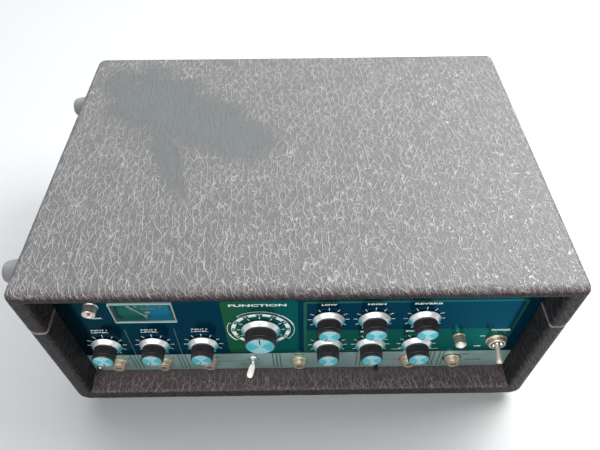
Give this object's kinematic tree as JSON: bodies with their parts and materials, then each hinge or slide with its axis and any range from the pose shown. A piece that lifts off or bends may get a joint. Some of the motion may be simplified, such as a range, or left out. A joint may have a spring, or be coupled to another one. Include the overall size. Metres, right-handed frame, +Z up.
{
  "type": "tape echo unit",
  "caption": "Portable tape echo unit in a black vinyl covered wooden case, like a small amp head, with a recessed control panel, lift-off lid and side handle.",
  "frame": {"origin": "on the ground, under the middle of the case", "axes": "+X to the right seen from the front, +Y to the back, +Z up"},
  "size_m": [0.459, 0.298, 0.186],
  "materials": {
    "vinyl": "black textured vinyl covering over plywood, elephant skin grain, satin",
    "panel_paint": "dark blue green screen printed aluminium, satin",
    "foot_rubber": "matte black rubber",
    "screw_steel": "plated steel",
    "strap": "black moulded strap, satin",
    "chrome": "polished chrome",
    "zinc_sheet": "zinc plated sheet steel",
    "rear_paint": "black crackle paint",
    "knob_black": "black grip with silver skirt and spun aluminium cap",
    "phenolic": "brown phenolic",
    "brass": "aged brass",
    "black_plastic": "black moulded plastic",
    "dial_card": "printed dial card",
    "clear_acrylic": "clear acrylic, polished",
    "needle_metal": "bright aluminium",
    "lamp_lens": "white translucent lens",
    "white_plastic": "white plastic",
    "deck_metal": "brushed aluminium deck",
    "tape_film": "brown magnetic tape",
    "head_metal": "polished head shield",
    "black_cast": "black painted block",
    "bright_steel": "ground steel",
    "motor_paint": "grey painted motor can",
    "belt_rubber": "black rubber",
    "core_steel": "varnished core and winding"
  },
  "bodies": {
    "case": {"case_base": "vinyl", "feet_base": "foot_rubber", "foot_screws_base": "screw_steel", "handle_ends": "strap", "handle_caps": "chrome", "handle_screws": "screw_steel", "chassis": "zinc_sheet", "front_panel": "panel_paint", "rear_panel": "rear_paint", "panel_screws": "screw_steel", "potentiometers": "zinc_sheet", "mode_switch": "phenolic", "panel_nuts": "brass", "jacks": "brass", "vu_case": "black_plastic", "vu_dial": "dial_card", "vu_lens": "clear_acrylic", "peak_lamp": "chrome", "pilot_lamp": "chrome", "pilot_lens": "lamp_lens", "power_switch": "chrome", "panel_switches": "zinc_sheet", "fuse_holder": "black_plastic", "cord_gland": "black_plastic", "deck_plate": "deck_metal", "tape_cover": "clear_acrylic", "tape_loop": "tape_film", "tape_guides": "screw_steel", "heads": "head_metal", "head_block": "black_cast", "motor": "motor_paint", "drive_belt": "belt_rubber", "transformer": "core_steel", "circuit_board": "phenolic", "reverb_tank": "zinc_sheet"},
    "lid": {"lid": "vinyl", "lid_boards": "panel_paint", "feet_lid": "foot_rubber", "foot_screws_lid": "screw_steel", "catch_studs": "screw_steel"},
    "handle": {"handle_grip": "strap"},
    "knob_mic_1": {"knob_mic_1": "knob_black"},
    "knob_mic_2": {"knob_mic_2": "knob_black"},
    "knob_instrument": {"knob_instrument": "knob_black"},
    "knob_bass": {"knob_bass": "knob_black"},
    "knob_treble": {"knob_treble": "knob_black"},
    "knob_reverb": {"knob_reverb": "knob_black"},
    "knob_rate": {"knob_rate": "knob_black"},
    "knob_intensity": {"knob_intensity": "knob_black"},
    "knob_echo": {"knob_echo": "knob_black"},
    "knob_mode": {"knob_mode": "knob_black"},
    "power_toggle": {"power_toggle": "chrome"},
    "level_lever": {"level_lever": "white_plastic"},
    "cancel_lever": {"cancel_lever": "black_plastic"},
    "output_slider": {"output_slider": "black_plastic"},
    "vu_needle": {"vu_needle": "needle_metal"},
    "capstan": {"capstan": "bright_steel"},
    "motor_pulley": {"motor_pulley": "brass"},
    "pinch_arm": {"pinch_arm": "screw_steel"},
    "pinch_roller": {"pinch_roller": "belt_rubber"}
  },
  "joints": [
    {"name": "lid_lift", "type": "slide", "parent": "case", "child": "lid", "axis": [0, 0, 1], "range_m": [0, 0.06]},
    {"name": "handle_pull", "type": "slide", "parent": "case", "child": "handle", "axis": [1, 0, 0], "range_m": [0, 0.016], "stiffness_N_per_m": 60},
    {"name": "knob_mic_1_turn", "type": "hinge", "parent": "case", "child": "knob_mic_1", "pos_m": [-0.1676, -0.1275, 0.0765], "axis": [0, 1, 0], "range_deg": [0, 300]},
    {"name": "knob_mic_2_turn", "type": "hinge", "parent": "case", "child": "knob_mic_2", "pos_m": [-0.1258, -0.1275, 0.0765], "axis": [0, 1, 0], "range_deg": [0, 300]},
    {"name": "knob_instrument_turn", "type": "hinge", "parent": "case", "child": "knob_instrument", "pos_m": [-0.0835, -0.1275, 0.0765], "axis": [0, 1, 0], "range_deg": [0, 300]},
    {"name": "knob_bass_turn", "type": "hinge", "parent": "case", "child": "knob_bass", "pos_m": [0.0245, -0.1275, 0.115], "axis": [0, 1, 0], "range_deg": [0, 300]},
    {"name": "knob_treble_turn", "type": "hinge", "parent": "case", "child": "knob_treble", "pos_m": [0.062, -0.1275, 0.115], "axis": [0, 1, 0], "range_deg": [0, 300]},
    {"name": "knob_reverb_turn", "type": "hinge", "parent": "case", "child": "knob_reverb", "pos_m": [0.103, -0.1275, 0.115], "axis": [0, 1, 0], "range_deg": [0, 300]},
    {"name": "knob_rate_turn", "type": "hinge", "parent": "case", "child": "knob_rate", "pos_m": [0.025, -0.1275, 0.072], "axis": [0, 1, 0], "range_deg": [0, 300]},
    {"name": "knob_intensity_turn", "type": "hinge", "parent": "case", "child": "knob_intensity", "pos_m": [0.0625, -0.1275, 0.072], "axis": [0, 1, 0], "range_deg": [0, 300]},
    {"name": "knob_echo_turn", "type": "hinge", "parent": "case", "child": "knob_echo", "pos_m": [0.103, -0.1275, 0.072], "axis": [0, 1, 0], "range_deg": [0, 300]},
    {"name": "knob_mode_turn", "type": "hinge", "parent": "case", "child": "knob_mode", "pos_m": [-0.0319, -0.1275, 0.1], "axis": [0, 1, 0], "range_deg": [-150, 180]},
    {"name": "power_throw", "type": "hinge", "parent": "case", "child": "power_toggle", "pos_m": [0.172, -0.131, 0.077], "axis": [-1, 0, 0], "range_deg": [0, 30]},
    {"name": "level_throw", "type": "hinge", "parent": "case", "child": "level_lever", "pos_m": [-0.042, -0.131, 0.046], "axis": [0, 0, 1], "range_deg": [0, 24]},
    {"name": "cancel_throw", "type": "hinge", "parent": "case", "child": "cancel_lever", "pos_m": [0.0705, -0.131, 0.046], "axis": [0, 0, 1], "range_deg": [0, 24]},
    {"name": "output_slide", "type": "slide", "parent": "case", "child": "output_slider", "axis": [1, 0, 0], "range_m": [0, 0.006]},
    {"name": "needle_swing", "type": "hinge", "parent": "case", "child": "vu_needle", "pos_m": [-0.124, -0.1165, 0.12], "axis": [0, 1, 0], "range_deg": [0, 74], "stiffness_Nm_per_rad": 0.0004},
    {"name": "capstan_turn", "type": "hinge", "parent": "case", "child": "capstan", "pos_m": [0.12, -0.06, 0.1], "axis": [0, 0, 1], "continuous": true},
    {"name": "motor_turn", "type": "hinge", "parent": "case", "child": "motor_pulley", "pos_m": [0.06, -0.01, 0.1], "axis": [0, 0, 1], "continuous": true},
    {"name": "pinch_swing", "type": "hinge", "parent": "case", "child": "pinch_arm", "pos_m": [0.152, -0.07, 0.128], "axis": [0, 0, 1], "range_deg": [-10, 0], "stiffness_Nm_per_rad": 0.05},
    {"name": "pinch_roller_turn", "type": "hinge", "parent": "pinch_arm", "child": "pinch_roller", "pos_m": [0.12118, -0.0795, 0.135], "axis": [0, 0, 1], "continuous": true}
  ],
  "couplings": [
    {"joint": "motor_turn", "follows": "capstan_turn", "ratio": 5.3333}
  ]
}
